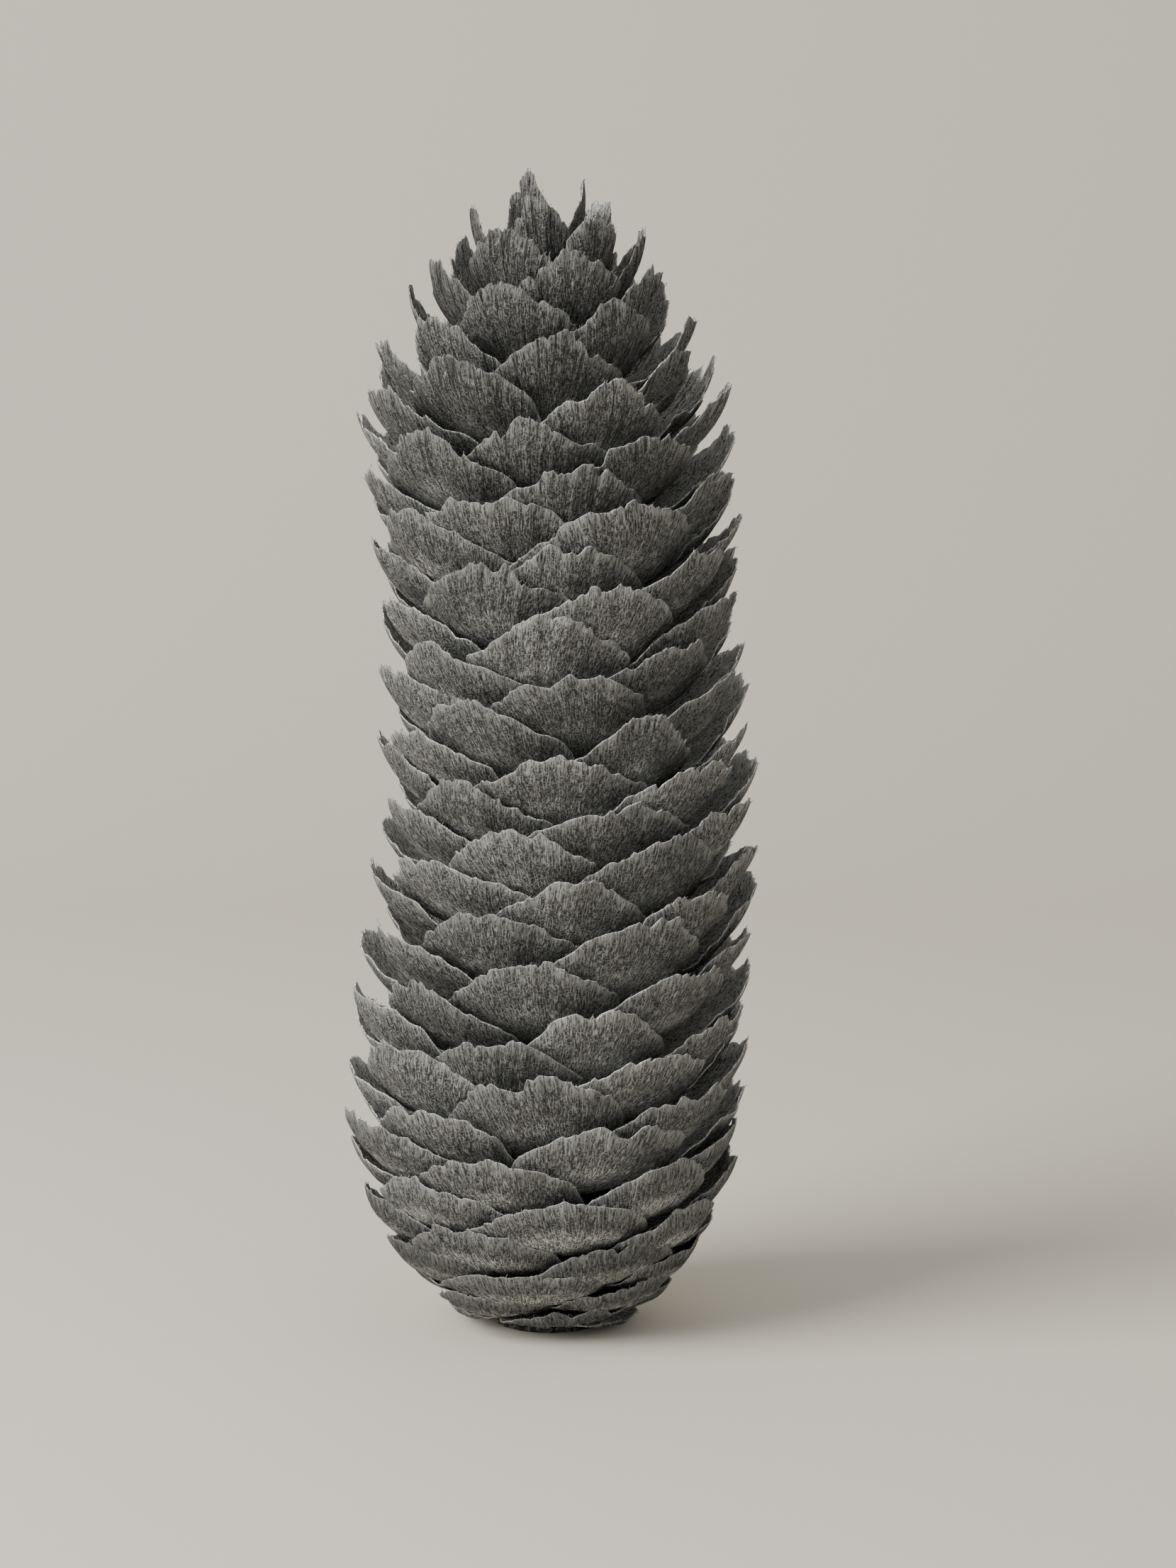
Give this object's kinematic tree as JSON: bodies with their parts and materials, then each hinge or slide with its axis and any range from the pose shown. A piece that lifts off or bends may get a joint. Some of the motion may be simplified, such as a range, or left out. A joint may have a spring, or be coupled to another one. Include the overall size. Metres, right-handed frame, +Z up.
{
  "type": "spruce cone",
  "caption": "Ripe spruce cone standing on its base: a long, slightly bowed body of thin overlapping woody scales in a spiral, with notched ragged margins and a small upright crown.",
  "frame": {"origin": "middle of the small flat foot where the stalk broke off, on the surface that the cone stands on", "axes": "+Z up along the cone from its foot to its tip; -Y is the side seen in the picture; the slight bow stands out towards +X"},
  "size_m": [0.0509, 0.0498, 0.1395],
  "materials": {
    "scale_wood": "dry, weathered, matt, warm grey"
  },
  "bodies": {
    "root": {"spruce_cone": "scale_wood"}
  },
  "joints": []
}
